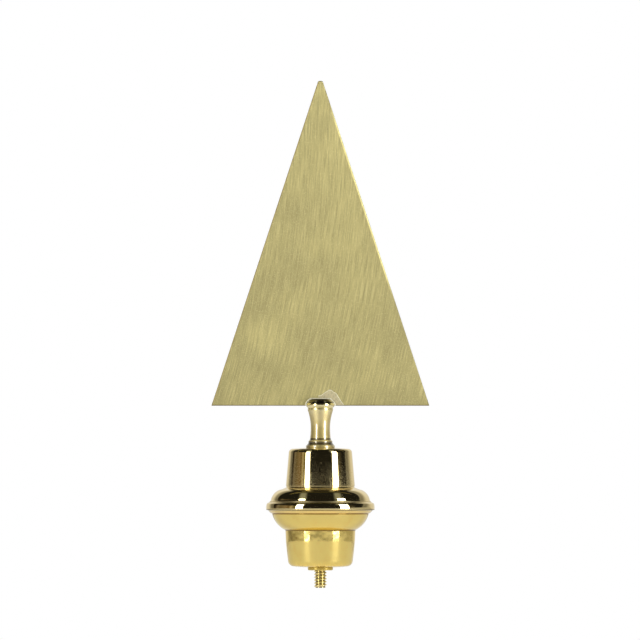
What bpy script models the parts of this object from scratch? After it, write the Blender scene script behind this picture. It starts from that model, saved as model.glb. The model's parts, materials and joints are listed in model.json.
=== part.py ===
"""Flagpole finial: a brushed triangular plate in a turned neck, on a base of two spun shells.

Metres, +Z up. The plate stands in the XZ plane. The origin is the middle of the washer's
underside, which seats on the end of the pole, and the threaded stud hangs below it.
A profile is a list of (radius, height) points, from the top of a turned piece to its bottom.
"""

import math

import bmesh
import bpy
from mathutils import Matrix, Vector

OBJECT_NAME = "flagpole_finial"

# Room between two pieces that touch
GAP = 0.0003

# Threaded stud
STUD_DIAMETER = 0.00635
STUD_REACH = 0.00875
THREAD_PITCH = 0.00148
THREAD_DEPTH = 0.0008
THREAD_CREST = 0.0002
THREAD_ROOT = 0.0003

# Washer
WASHER_DIAMETER = 0.0126
WASHER_THICKNESS = 0.0012
WASHER_EDGE_ROUND = 0.0006

# Cup, the lower part of the lower shell
CUP_HEIGHT = 0.0188
CUP_TOP_DIAMETER = 0.035
CUP_BAND_DIAMETER = 0.0346
CUP_BAND_HEIGHT = 0.0048
CUP_FOOT_DIAMETER = 0.0324
CUP_CORNER_ROUND = 0.003
CUP_BELLY = 0.00045
CUP_BELLY_RISE = 0.0001
CUP_WALL_RISE = 0.00006
CUP_FILLET_HEIGHT = 0.0006

# Bowl, the upper part of the lower shell
BOWL_HEIGHT = 0.0079
BOWL_FOOT_DIAMETER = 0.0357
BOWL_RIM_DIAMETER = 0.0484
BOWL_RISE = 0.00115

# Rolled ring, the foot of the upper shell, from its chamfer up to the slope under the shoulder
RING_CHAMFER_HEIGHT = 0.0015
RING_CHAMFER_FOOT_DIAMETER = 0.0492
RING_CHAMFER_TOP_DIAMETER = 0.0522
RING_UNDERSIDE_HEIGHT = 0.00015
RING_FOOT_ROUND = 0.0002
RING_BAND_HEIGHT = 0.00295
RING_LOWER_DIAMETER = 0.0542
RING_UPPER_DIAMETER = 0.0538
RING_BAND_RISE = 0.00018
RING_CORNER_HEIGHT = 0.0007
RING_CORNER_DIAMETER = 0.0522
RING_CORNER_RISE = 0.00015
RING_SLOPE_HEIGHT = 0.0011
RING_SLOPE_DEPTH = 0.00012

# Convex shoulder above the ring
SHOULDER_HEIGHT = 0.0053
SHOULDER_FOOT_DIAMETER = 0.0497
SHOULDER_TOP_DIAMETER = 0.0414
SHOULDER_RISE = 0.00086

# Cove from the shoulder up to the cap
COVE_HEIGHT = 0.0019
COVE_DEPTH = 0.0001
COVE_STEP = 0.0002
COVE_WALL_HEIGHT = 0.0006

# Tapered cap
CAP_HEIGHT = 0.0192
CAP_FOOT_DIAMETER = 0.0345
CAP_TOP_DIAMETER = 0.0314
CAP_EDGE_ROUND = 0.002
CAP_CROWN = 0.0005

# Neck, from its foot up
NECK_FOOT_DIAMETER = 0.0144
NECK_FOOT_EDGE = 0.001
NECK_COVE_HEIGHT = 0.0015
NECK_COVE_DEPTH = 0.0001
LOWER_BEAD_DIAMETER = 0.0119
LOWER_BEAD_HEIGHT = 0.0013
LOWER_BEAD_RISE = 0.0003
NECK_GROOVE_DIAMETER = 0.0108
NECK_GROOVE_HEIGHT = 0.0005
SHAFT_FOOT_DIAMETER = 0.0104
SHAFT_WAIST_DIAMETER = 0.00966
SHAFT_TOP_DIAMETER = 0.0122
SHAFT_LOWER_HEIGHT = 0.0056
SHAFT_UPPER_HEIGHT = 0.0079
UPPER_BEAD_DIAMETER = 0.0125
UPPER_BEAD_HEIGHT = 0.0019
UPPER_BEAD_RISE = 0.0002
HEAD_DIAMETER = 0.0142
HEAD_ROLL_HEIGHT = 0.002
HEAD_ROLL_RISE = 0.0004
HEAD_CROWN_HEIGHT = 0.0024
HEAD_TOP_DIAMETER = 0.01
SLOT_DEPTH = 0.0037

# Triangular plate
PLATE_WIDTH = 0.1092
PLATE_HEIGHT = 0.1624
PLATE_TIP_WIDTH = 0.0022
PLATE_THICKNESS = 0.002
PLATE_EDGE_ROUND = 0.0003

# Facets around a turn
SHELL_FACETS = 60
NECK_FACETS = 36
WASHER_FACETS = 36
STUD_FACETS = 18

# A quarter circle stands this share of its chord proud of the chord
QUARTER_RISE = math.tan(math.pi / 8) / 2
MERGE_DISTANCE = 0.00001
SHARP_EDGE_ANGLE = math.radians(32)
CUTTER_MARGIN = 0.002

# Heights of the joints between the pieces
CUP_FOOT_Z = WASHER_THICKNESS + GAP
CUP_TOP_Z = CUP_FOOT_Z + CUP_HEIGHT
BOWL_RIM_Z = CUP_TOP_Z + BOWL_HEIGHT
RING_FOOT_Z = BOWL_RIM_Z + GAP
RING_BAND_FOOT_Z = RING_FOOT_Z + RING_CHAMFER_HEIGHT + RING_UNDERSIDE_HEIGHT
RING_BAND_TOP_Z = RING_BAND_FOOT_Z + RING_BAND_HEIGHT
RING_CORNER_Z = RING_BAND_TOP_Z + RING_CORNER_HEIGHT
SHOULDER_FOOT_Z = RING_CORNER_Z + RING_SLOPE_HEIGHT
SHOULDER_TOP_Z = SHOULDER_FOOT_Z + SHOULDER_HEIGHT
CAP_FOOT_Z = SHOULDER_TOP_Z + COVE_HEIGHT
CAP_TOP_Z = CAP_FOOT_Z + CAP_HEIGHT
NECK_FOOT_Z = CAP_TOP_Z + GAP
LOWER_BEAD_Z = NECK_FOOT_Z + NECK_FOOT_EDGE + NECK_COVE_HEIGHT
SHAFT_FOOT_Z = LOWER_BEAD_Z + LOWER_BEAD_HEIGHT + NECK_GROOVE_HEIGHT
WAIST_Z = SHAFT_FOOT_Z + SHAFT_LOWER_HEIGHT
SHAFT_TOP_Z = WAIST_Z + SHAFT_UPPER_HEIGHT
HEAD_FOOT_Z = SHAFT_TOP_Z + UPPER_BEAD_HEIGHT
HEAD_CROWN_Z = HEAD_FOOT_Z + HEAD_ROLL_HEIGHT
HEAD_TOP_Z = HEAD_CROWN_Z + HEAD_CROWN_HEIGHT
SLOT_FLOOR_Z = HEAD_TOP_Z - SLOT_DEPTH
PLATE_FOOT_Z = SLOT_FLOOR_Z + GAP


def clear_scene():
    for old_object in list(bpy.data.objects):
        bpy.data.objects.remove(old_object, do_unlink=True)


def new_collection(name):
    collection = bpy.data.collections.new(name)
    bpy.context.scene.collection.children.link(collection)
    return collection


def metal(name, colour, roughness):
    """A metal with a linear colour and a roughness."""
    material = bpy.data.materials.new(name)
    material.use_nodes = True
    shader = material.node_tree.nodes["Principled BSDF"]
    shader.inputs["Base Color"].default_value = (*colour, 1.0)
    shader.inputs["Roughness"].default_value = roughness
    shader.inputs["Metallic"].default_value = 1.0
    return material


def arc(start, end, rise, steps):
    """The points after start on a circular arc to end, which stands rise proud of its chord.

    A rise below nothing makes a cove, and no rise a straight line.
    """
    start, end = Vector(start), Vector(end)
    if not rise:
        return [tuple(end)]
    chord = end - start
    along = chord.normalized()
    outward = Vector((-along.y, along.x))
    half_angle = 2 * math.atan2(2 * rise, chord.length)
    radius = chord.length / (2 * math.sin(half_angle))
    points = []
    for step in range(1, steps + 1):
        turn = half_angle * (2 * step / steps - 1)
        distance = chord.length / 2 + radius * math.sin(turn)
        proud = radius * (math.cos(turn) - math.cos(half_angle))
        points.append(tuple(start + along * distance + outward * proud))
    return points


def quarter(start, end, steps):
    """The points after start on a quarter circle that bulges outward to end."""
    return arc(start, end, (Vector(end) - Vector(start)).length * QUARTER_RISE, steps)


def turned(name, profile, facets, material, collection, closed=False):
    """A piece turned about the Z axis from its profile; a closed profile makes a ring."""
    links = [(i, i + 1) for i in range(len(profile) - 1)]
    if closed:
        links.append((len(profile) - 1, 0))
    mesh = bpy.data.meshes.new(name)
    mesh.from_pydata([(radius, 0.0, height) for radius, height in profile], links, [])
    mesh.materials.append(material)
    piece = bpy.data.objects.new(name, mesh)
    collection.objects.link(piece)
    screw = piece.modifiers.new("Turn", "SCREW")
    screw.axis = "Z"
    screw.angle = 2 * math.pi
    screw.steps = facets
    screw.render_steps = facets
    screw.use_merge_vertices = True
    screw.merge_threshold = MERGE_DISTANCE
    screw.use_smooth_shade = True
    return piece


def make_lower_shell(material, collection):
    """Bowl and cup in one, closed by a flat rim above and a slightly bellied bottom."""
    rim = (BOWL_RIM_DIAMETER / 2, BOWL_RIM_Z)
    bowl_foot = (BOWL_FOOT_DIAMETER / 2, CUP_TOP_Z)
    fillet_foot = (CUP_TOP_DIAMETER / 2, CUP_TOP_Z - CUP_FILLET_HEIGHT)
    band_foot = (CUP_BAND_DIAMETER / 2, fillet_foot[1] - CUP_BAND_HEIGHT)
    underside_z = CUP_FOOT_Z + CUP_BELLY
    wall_foot = (CUP_FOOT_DIAMETER / 2, underside_z + CUP_CORNER_ROUND)
    underside_edge = (CUP_FOOT_DIAMETER / 2 - CUP_CORNER_ROUND, underside_z)
    fillet_depth = (BOWL_FOOT_DIAMETER - CUP_TOP_DIAMETER) / 2 * QUARTER_RISE
    seat = (WASHER_DIAMETER / 2, CUP_FOOT_Z)
    profile = [(0, BOWL_RIM_Z), rim]
    profile += arc(rim, bowl_foot, BOWL_RISE, 6)
    profile += arc(bowl_foot, fillet_foot, -fillet_depth, 3)
    profile += [band_foot]
    profile += arc(band_foot, wall_foot, CUP_WALL_RISE, 2)
    profile += quarter(wall_foot, underside_edge, 5)
    profile += arc(underside_edge, seat, CUP_BELLY_RISE, 3)
    profile += [(0, CUP_FOOT_Z)]
    return turned("lower_shell", profile, SHELL_FACETS, material, collection)


def make_upper_shell(material, collection):
    """Cap, cove, shoulder and rolled ring in one, flat where the neck stands on it."""
    neck_seat = (NECK_FOOT_DIAMETER / 2, CAP_TOP_Z)
    cap_rim_z = CAP_TOP_Z - CAP_CROWN
    cap_edge_start = (CAP_TOP_DIAMETER / 2 - CAP_EDGE_ROUND, cap_rim_z)
    cap_taper = (CAP_FOOT_DIAMETER - CAP_TOP_DIAMETER) / 2 / CAP_HEIGHT
    cap_edge_end = (CAP_TOP_DIAMETER / 2 + cap_taper * CAP_EDGE_ROUND, cap_rim_z - CAP_EDGE_ROUND)
    cap_foot = (CAP_FOOT_DIAMETER / 2, CAP_FOOT_Z + COVE_STEP)
    cove_radius = CAP_FOOT_DIAMETER / 2 - COVE_STEP
    cove_top = (cove_radius, CAP_FOOT_Z - COVE_WALL_HEIGHT)
    shoulder_top = (SHOULDER_TOP_DIAMETER / 2, SHOULDER_TOP_Z)
    shoulder_foot = (SHOULDER_FOOT_DIAMETER / 2, SHOULDER_FOOT_Z)
    corner_top = (RING_CORNER_DIAMETER / 2, RING_CORNER_Z)
    band_top = (RING_UPPER_DIAMETER / 2, RING_BAND_TOP_Z)
    band_foot = (RING_LOWER_DIAMETER / 2, RING_BAND_FOOT_Z + RING_FOOT_ROUND)
    underside_edge = (RING_LOWER_DIAMETER / 2 - RING_FOOT_ROUND, RING_BAND_FOOT_Z)
    chamfer_top = (RING_CHAMFER_TOP_DIAMETER / 2, RING_FOOT_Z + RING_CHAMFER_HEIGHT)
    chamfer_foot = (RING_CHAMFER_FOOT_DIAMETER / 2, RING_FOOT_Z)
    profile = [(0, CAP_TOP_Z), neck_seat, cap_edge_start]
    profile += quarter(cap_edge_start, cap_edge_end, 4)
    profile += [cap_foot, (cove_radius, CAP_FOOT_Z), cove_top]
    profile += arc(cove_top, shoulder_top, -COVE_DEPTH, 3)
    profile += arc(shoulder_top, shoulder_foot, SHOULDER_RISE, 6)
    profile += arc(shoulder_foot, corner_top, -RING_SLOPE_DEPTH, 2)
    profile += arc(corner_top, band_top, RING_CORNER_RISE, 2)
    profile += arc(band_top, band_foot, RING_BAND_RISE, 4)
    profile += quarter(band_foot, underside_edge, 2)
    profile += [chamfer_top, chamfer_foot, (0, RING_FOOT_Z)]
    return turned("upper_shell", profile, SHELL_FACETS, material, collection)


def shaft_profile(steps):
    """The waisted shaft from its top to its foot, a parabola above the waist and one below."""
    waist_radius = SHAFT_WAIST_DIAMETER / 2
    points = []
    for end_diameter, height, side in (
        (SHAFT_TOP_DIAMETER, SHAFT_UPPER_HEIGHT, 1),
        (SHAFT_FOOT_DIAMETER, SHAFT_LOWER_HEIGHT, -1),
    ):
        spread = end_diameter / 2 - waist_radius
        half = [
            (waist_radius + spread * (step / steps) ** 2, WAIST_Z + side * height * step / steps)
            for step in range(steps + 1)
        ]
        points += half[::-1] if side > 0 else half[1:]
    return points


def make_neck(material, collection, cutters):
    """The turned post, with the slot for the plate cut across its head."""
    crown_start = (HEAD_TOP_DIAMETER / 2, HEAD_TOP_Z)
    crown_end = (HEAD_DIAMETER / 2, HEAD_CROWN_Z)
    crown_rise = HEAD_CROWN_HEIGHT * QUARTER_RISE
    head_foot = (UPPER_BEAD_DIAMETER / 2, HEAD_FOOT_Z)
    bead_radius = LOWER_BEAD_DIAMETER / 2
    bead_foot = (bead_radius, LOWER_BEAD_Z)
    groove = (NECK_GROOVE_DIAMETER / 2, LOWER_BEAD_Z + LOWER_BEAD_HEIGHT)
    foot_edge = (NECK_FOOT_DIAMETER / 2, NECK_FOOT_Z + NECK_FOOT_EDGE)
    shaft = shaft_profile(5)
    profile = [(0, HEAD_TOP_Z), crown_start]
    profile += arc(crown_start, crown_end, crown_rise, 4)
    profile += arc(crown_end, head_foot, HEAD_ROLL_RISE, 3)
    profile += arc(head_foot, shaft[0], UPPER_BEAD_RISE, 3)
    profile += shaft[1:]
    profile += [groove]
    profile += arc(groove, bead_foot, LOWER_BEAD_RISE, 4)
    profile += arc(bead_foot, foot_edge, -NECK_COVE_DEPTH, 3)
    profile += [(NECK_FOOT_DIAMETER / 2, NECK_FOOT_Z), (0, NECK_FOOT_Z)]
    neck = turned("neck", profile, NECK_FACETS, material, collection)

    slot_height = SLOT_DEPTH + CUTTER_MARGIN
    size = (HEAD_DIAMETER + 2 * CUTTER_MARGIN, PLATE_THICKNESS + 2 * GAP, slot_height)
    bpy.ops.mesh.primitive_cube_add(size=1, location=(0, 0, SLOT_FLOOR_Z + slot_height / 2))
    cutter = bpy.context.object
    cutter.name = "slot_cutter"
    cutter.data.transform(Matrix.Diagonal((*size, 1)))
    for collection_of_cutter in list(cutter.users_collection):
        collection_of_cutter.objects.unlink(cutter)
    cutters.objects.link(cutter)
    cutter.hide_render = True
    cutter.display_type = "WIRE"
    cut = neck.modifiers.new("Slot", "BOOLEAN")
    cut.operation = "DIFFERENCE"
    cut.solver = "EXACT"
    cut.object = cutter
    return neck


def make_washer(material, collection):
    """A round washer with a bore for the stud and a rounded outer edge below."""
    outer = WASHER_DIAMETER / 2
    bore = STUD_DIAMETER / 2 + GAP
    edge_round = min(WASHER_EDGE_ROUND, WASHER_THICKNESS / 2)
    round_start = (outer, edge_round)
    profile = [(bore, WASHER_THICKNESS), (outer, WASHER_THICKNESS), round_start]
    profile += quarter(round_start, (outer - edge_round, 0), 3)
    profile += [(bore, 0)]
    return turned("washer", profile, WASHER_FACETS, material, collection, closed=True)


def make_stud(material, collection):
    """A right-hand thread wound from a zigzag line, cut flat at both ends and chamfered below."""
    crest_radius = STUD_DIAMETER / 2
    root_radius = crest_radius - THREAD_DEPTH
    flank = (THREAD_PITCH - THREAD_CREST - THREAD_ROOT) / 2
    top_z = WASHER_THICKNESS
    foot_z = -STUD_REACH
    turns = math.ceil((top_z - foot_z) / THREAD_PITCH) + 3
    start_z = foot_z - 2 * THREAD_PITCH

    mesh_data = bmesh.new()
    line = []
    for turn in range(turns):
        base_z = start_z + turn * THREAD_PITCH
        for radius, rise in (
            (crest_radius, 0),
            (crest_radius, THREAD_CREST),
            (root_radius, THREAD_CREST + flank),
            (root_radius, THREAD_CREST + flank + THREAD_ROOT),
        ):
            line.append(mesh_data.verts.new((radius, 0, base_z + rise)))
    line.append(mesh_data.verts.new((crest_radius, 0, start_z + turns * THREAD_PITCH)))
    edges = [mesh_data.edges.new(pair) for pair in zip(line, line[1:])]
    bmesh.ops.spin(
        mesh_data,
        geom=line + edges,
        cent=(0, 0, 0),
        axis=(0, 0, 1),
        dvec=(0, 0, THREAD_PITCH / STUD_FACETS),
        angle=2 * math.pi,
        steps=STUD_FACETS,
    )
    bmesh.ops.remove_doubles(mesh_data, verts=mesh_data.verts, dist=MERGE_DISTANCE)
    for height, side in ((top_z, 1), (foot_z, -1)):
        bmesh.ops.bisect_plane(
            mesh_data,
            geom=mesh_data.verts[:] + mesh_data.edges[:] + mesh_data.faces[:],
            plane_co=(0, 0, height),
            plane_no=(0, 0, side),
            clear_outer=True,
        )
    for vert in mesh_data.verts:
        allowed = root_radius + (vert.co.z - foot_z)
        radius = vert.co.xy.length
        if radius > allowed:
            vert.co.xy *= allowed / radius
    rims = [edge for edge in mesh_data.edges if edge.is_boundary]
    bmesh.ops.holes_fill(mesh_data, edges=rims, sides=0)
    bmesh.ops.remove_doubles(mesh_data, verts=mesh_data.verts, dist=MERGE_DISTANCE)
    bmesh.ops.triangulate(mesh_data, faces=[face for face in mesh_data.faces if len(face.verts) > 4])
    bmesh.ops.recalc_face_normals(mesh_data, faces=mesh_data.faces)

    mesh = bpy.data.meshes.new("threaded_stud")
    mesh_data.to_mesh(mesh)
    mesh_data.free()
    mesh.materials.append(material)
    stud = bpy.data.objects.new("threaded_stud", mesh)
    collection.objects.link(stud)
    return stud


def make_plate(material, collection):
    """The flat triangle with its blunt tip, from an outline in the XY plane turned upright."""
    outline = [
        (-PLATE_WIDTH / 2, 0),
        (PLATE_WIDTH / 2, 0),
        (PLATE_TIP_WIDTH / 2, PLATE_HEIGHT),
        (-PLATE_TIP_WIDTH / 2, PLATE_HEIGHT),
    ]
    curve = bpy.data.curves.new("plate_outline", "CURVE")
    curve.dimensions = "2D"
    curve.fill_mode = "BOTH"
    curve.extrude = PLATE_THICKNESS / 2
    spline = curve.splines.new("POLY")
    spline.points.add(len(outline) - 1)
    for point, (x, y) in zip(spline.points, outline):
        point.co = (x, y, 0, 1)
    spline.use_cyclic_u = True
    drawn = bpy.data.objects.new("plate_outline", curve)
    collection.objects.link(drawn)
    bpy.context.view_layer.update()
    evaluated = drawn.evaluated_get(bpy.context.evaluated_depsgraph_get())
    mesh = bpy.data.meshes.new_from_object(evaluated)
    mesh.name = "triangle_plate"
    mesh_data = bmesh.new()
    mesh_data.from_mesh(mesh)
    bmesh.ops.remove_doubles(mesh_data, verts=mesh_data.verts, dist=MERGE_DISTANCE)
    bmesh.ops.recalc_face_normals(mesh_data, faces=mesh_data.faces)
    mesh_data.to_mesh(mesh)
    mesh_data.free()
    mesh.materials.clear()
    mesh.materials.append(material)
    bpy.data.objects.remove(drawn, do_unlink=True)

    plate = bpy.data.objects.new("triangle_plate", mesh)
    plate.location = (0, 0, PLATE_FOOT_Z)
    plate.rotation_euler = (math.pi / 2, 0, 0)
    collection.objects.link(plate)
    bevel = plate.modifiers.new("Edge", "BEVEL")
    bevel.width = PLATE_EDGE_ROUND
    bevel.segments = 2
    bevel.limit_method = "ANGLE"
    bevel.angle_limit = SHARP_EDGE_ANGLE
    return plate


def main():
    clear_scene()
    parts = new_collection(OBJECT_NAME)
    cutters = new_collection("cutters")
    brushed = metal("brushed brass sheet", (0.50, 0.44, 0.20), 0.38)
    turned_brass = metal("turned brass", (0.78, 0.62, 0.30), 0.16)
    upper_polish = metal("polished brass, upper shell", (0.80, 0.64, 0.29), 0.08)
    lower_polish = metal("polished brass, lower shell", (0.80, 0.62, 0.26), 0.12)
    washer_brass = metal("dull brass washer", (0.62, 0.45, 0.16), 0.35)
    stud_brass = metal("cut brass thread", (0.76, 0.58, 0.26), 0.25)
    make_plate(brushed, parts)
    make_neck(turned_brass, parts, cutters)
    make_upper_shell(upper_polish, parts)
    make_lower_shell(lower_polish, parts)
    make_washer(washer_brass, parts)
    make_stud(stud_brass, parts)


main()
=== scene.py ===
"""Flagpole finial: fine meshes, brass finishes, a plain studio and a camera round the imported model.

Metres, +Z up. The plate stands in the XZ plane and its front faces -Y.
A profile is a list of (radius, height) points, from the top of a turned piece to its bottom.
"""

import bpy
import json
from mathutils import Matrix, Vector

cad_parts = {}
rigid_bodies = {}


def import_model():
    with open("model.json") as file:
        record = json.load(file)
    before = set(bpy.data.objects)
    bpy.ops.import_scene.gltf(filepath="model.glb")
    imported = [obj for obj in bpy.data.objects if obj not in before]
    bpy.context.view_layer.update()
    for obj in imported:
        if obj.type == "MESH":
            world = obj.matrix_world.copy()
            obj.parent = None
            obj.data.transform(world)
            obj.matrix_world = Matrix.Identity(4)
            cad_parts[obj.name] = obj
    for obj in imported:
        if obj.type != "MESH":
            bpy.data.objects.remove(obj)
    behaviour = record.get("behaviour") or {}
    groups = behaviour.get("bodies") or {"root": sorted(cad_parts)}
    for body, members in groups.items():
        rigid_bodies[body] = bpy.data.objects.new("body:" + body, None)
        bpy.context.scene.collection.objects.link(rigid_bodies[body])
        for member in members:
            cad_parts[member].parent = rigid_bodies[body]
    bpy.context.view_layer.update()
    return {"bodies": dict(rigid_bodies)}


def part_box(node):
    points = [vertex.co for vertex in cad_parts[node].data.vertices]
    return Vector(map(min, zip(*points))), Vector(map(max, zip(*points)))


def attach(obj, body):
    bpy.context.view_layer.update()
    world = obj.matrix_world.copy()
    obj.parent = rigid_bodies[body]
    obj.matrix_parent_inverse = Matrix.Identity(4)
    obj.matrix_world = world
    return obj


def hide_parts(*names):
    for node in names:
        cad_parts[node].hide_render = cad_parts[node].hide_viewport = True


bl_info = {
    "name": "Flagpole finial",
    "version": (1, 0, 0),
    "blender": (4, 5, 0),
    "location": "3D View > Sidebar > Finial",
    "description": "A brushed brass triangle in a turned neck, on a base of two spun shells",
    "category": "Add Mesh",
}

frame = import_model()

import json
import math

import bmesh
import bpy
from bpy.props import FloatProperty, FloatVectorProperty, IntProperty, PointerProperty
from mathutils import Vector, noise

BODY = next(iter(frame["bodies"]))

# Lowest and highest corners of the solids that the pieces stand for
PLATE_LOW, PLATE_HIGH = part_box("triangle_plate")
NECK_LOW, NECK_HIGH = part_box("neck")
UPPER_LOW, UPPER_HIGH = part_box("upper_shell")
LOWER_LOW, LOWER_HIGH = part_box("lower_shell")
WASHER_LOW, WASHER_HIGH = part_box("washer")
STUD_LOW, STUD_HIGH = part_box("threaded_stud")

# The photo's frame in pixels, and the size of one pixel at the object
FRAME_PIXELS = 640
PIXEL_SIZE = 0.0005
FRAME_MIDDLE_X = -0.0002
FRAME_MIDDLE_Z = 0.12515

# The far point that the strokes of the brush on the plate swing about
SWING_CENTRE = (-0.59, 0.0, 0.237)

# Width and length of the strokes, and how often they change through the sheet, for each metre
FINE_STROKE = (0.00026, 0.0125)
BROAD_STROKE = (0.0009, 0.028)
STROKE_LAYERS = 5000.0

# Scales of the noise in the finishes, in waves to the metre
LINE_WANDER_SCALE = 90.0
SMEAR_SCALE = 110.0
SMEAR_GRAIN_SCALE = 900.0
DUST_SCALE = 700.0
TARNISH_SCALE = 160.0
SCRATCH_SCALE = 4200.0
DENT_SCALE = 230.0
SHEET_GRAIN_SCALE = 2200.0
BLOTCH_SCALE = 32.0
CLOUD_SCALES = (14.0, 14.0, 34.0)
CLOUD_LEAN = (0.0, math.radians(-28), 0.0)
LUMP_SCALE = 1400.0
BEAD_LUMP_SCALE = 420.0
FLOOR_GRAIN_SCALE = 300.0

# Depths of the relief, and lengths over which a finish changes
LINE_DEPTH = 0.00002
STROKE_DEPTH = 0.00004
LUMP_DEPTH = 0.00005
BORDER_WIDTH = 0.0002
HAZE_END = 0.001

# How far the satin of the shaft fades out below the neck's foot and above the shaft's top
SATIN_BELOW = 0.007
SATIN_ABOVE = 0.0036

# Marks on the metals, among them painted shade, painted highlights and painted reflections; the
# tarnish keeps these shares of red, green and blue
TARNISH_SHARES = (0.86, 0.80, 0.66)
HAZE_ROUGHNESS = 0.34
LIGHT_STROKE = (0.84, 0.77, 0.39)
LIGHT_GRAIN = (0.78, 0.71, 0.36)
# Painted highlight of the right softbox along the plate's right edge
PAINTED_EDGE_HIGHLIGHT = (0.92, 0.84, 0.36)
# Darker along the plate's left edge
LEFT_EDGE_DARK = (0.30, 0.20, 0.06)
# Darker along the plate's foot
FOOT_DARK = (0.14, 0.08, 0.02)
# Painted shade in the roots of the thread
GROOVE_SHADE = (0.16, 0.11, 0.03)
# Dirt and painted shade in the seam between the two shells
SEAM_DIRT_AND_SHADE = (0.36, 0.19, 0.03)
# Dirt and painted shade in the crease between the bowl and the cup
CREASE_DIRT_AND_SHADE = (0.17, 0.08, 0.01)
# Painted shade along the foot of the ring, under its overhang
RING_FOOT_SHADE = (0.10, 0.06, 0.01)
# Painted shade in the neck's cove
NECK_COVE_SHADE = (0.08, 0.05, 0.015)
# Painted shade in the neck's groove
NECK_GROOVE_SHADE = (0.12, 0.07, 0.02)
# Painted reflection of the dark room on the crown of the head
CROWN_DARK_REFLECTION = (0.04, 0.03, 0.01)

# The edge of the film of solder: how far right of the axis, and how far above the plate's foot
FILM_OUTER = (
    (-0.0012, 0.0047), (0.0006, 0.0053), (0.0026, 0.0067), (0.0043, 0.0078), (0.0055, 0.0077),
    (0.0066, 0.0068), (0.0079, 0.0061), (0.0088, 0.0045), (0.0098, 0.0030), (0.0107, 0.0016),
    (0.0116, 0.0005),
)
FILM_INNER = (
    (0.0090, 0.0003), (0.0072, 0.0004), (0.0066, 0.0017), (0.0050, 0.0029), (0.0010, 0.0033),
)

# The softboxes: name, direction from the camera's side, width, lowest and highest angle, all in
# degrees and seen from the axis at the middle height of the base
SOFTBOXES = (
    ("softbox_left", -46.0, 16.0, -5.0, 33.0),
    ("softbox_right", 53.5, 20.5, -14.0, 36.0),
)
BASE_MIDDLE_Z = 0.04

# What shines at the sides of the dark room: direction in degrees, and colour or the room's own
ROOM_SIDES = (
    (-124, None), (-112, (0.03, 0.02, 0.01)), (-105, (0.20, 0.17, 0.13)), (-96, (0.14, 0.11, 0.06)),
    (-80, (0.23, 0.17, 0.10)), (-72, (0.15, 0.10, 0.04)), (-66, (0.45, 0.38, 0.23)),
    (-60, (0.18, 0.14, 0.06)), (-34, None), (38, None), (72, (0.07, 0.06, 0.04)), (84, None),
    (98, None), (106, (0.05, 0.05, 0.04)),
)
CEILING_STARTS_ENDS = (math.sin(math.radians(14)), math.sin(math.radians(24)))
HAZE_OVER_BOXES = (0.28, 0.28, 0.24)
GROUND = (0.45, 0.43, 0.38)

# A quarter circle stands this share of its chord proud of the chord
QUARTER_RISE = math.tan(math.pi / 8) / 2

# Points closer than this are merged; edges sharper than the first angle are eased, and those
# flatter than the second look smooth
MERGE_DISTANCE = 0.000001
SHARP_EDGE_ANGLE = math.radians(24)
SMOOTH_SHADING_ANGLE = math.radians(50)

# How far faces that would lie in one plane are held apart
TOUCH = 0.00002


def length(name, description, default):
    """A length that the user can set, in metres."""
    return FloatProperty(
        name=name,
        description=description,
        default=default,
        min=0.0,
        precision=5,
        subtype="DISTANCE",
        unit="LENGTH",
    )


def share(name, description, default):
    """A value from nothing to one that the user can set."""
    return FloatProperty(
        name=name, description=description, default=default, min=0.0, max=1.0, subtype="FACTOR"
    )


def colour(name, description, default):
    """A linear colour that the user can set."""
    return FloatVectorProperty(
        name=name,
        description=description,
        default=default,
        min=0.0,
        max=1.0,
        size=3,
        subtype="COLOR",
    )


class FinialPlate(bpy.types.PropertyGroup):
    """Sizes and colours of the triangular plate."""

    width: length("Width", "Width of the plate along its foot", PLATE_HIGH.x - PLATE_LOW.x)
    tip_width: length("Tip width", "Width of the blunt tip", 0.0022)
    tip_round: length("Tip round", "Radius of the two corners of the tip", 0.0006)
    thickness: length("Thickness", "Thickness of the sheet", PLATE_HIGH.y - PLATE_LOW.y)
    edge_round: length("Edge round", "Radius along the edges of the sheet", 0.0003)
    metal: colour("Metal", "Colour of the brushed brass", (0.605, 0.535, 0.237))
    shade: colour("Shade", "Colour in the darker clouds of the brushing", (0.42, 0.37, 0.17))
    roughness: share("Roughness", "Roughness of the brushed face", 0.48)
    stretch: share("Stretch", "How far the brushing spreads reflections sideways", 0.82)


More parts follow.
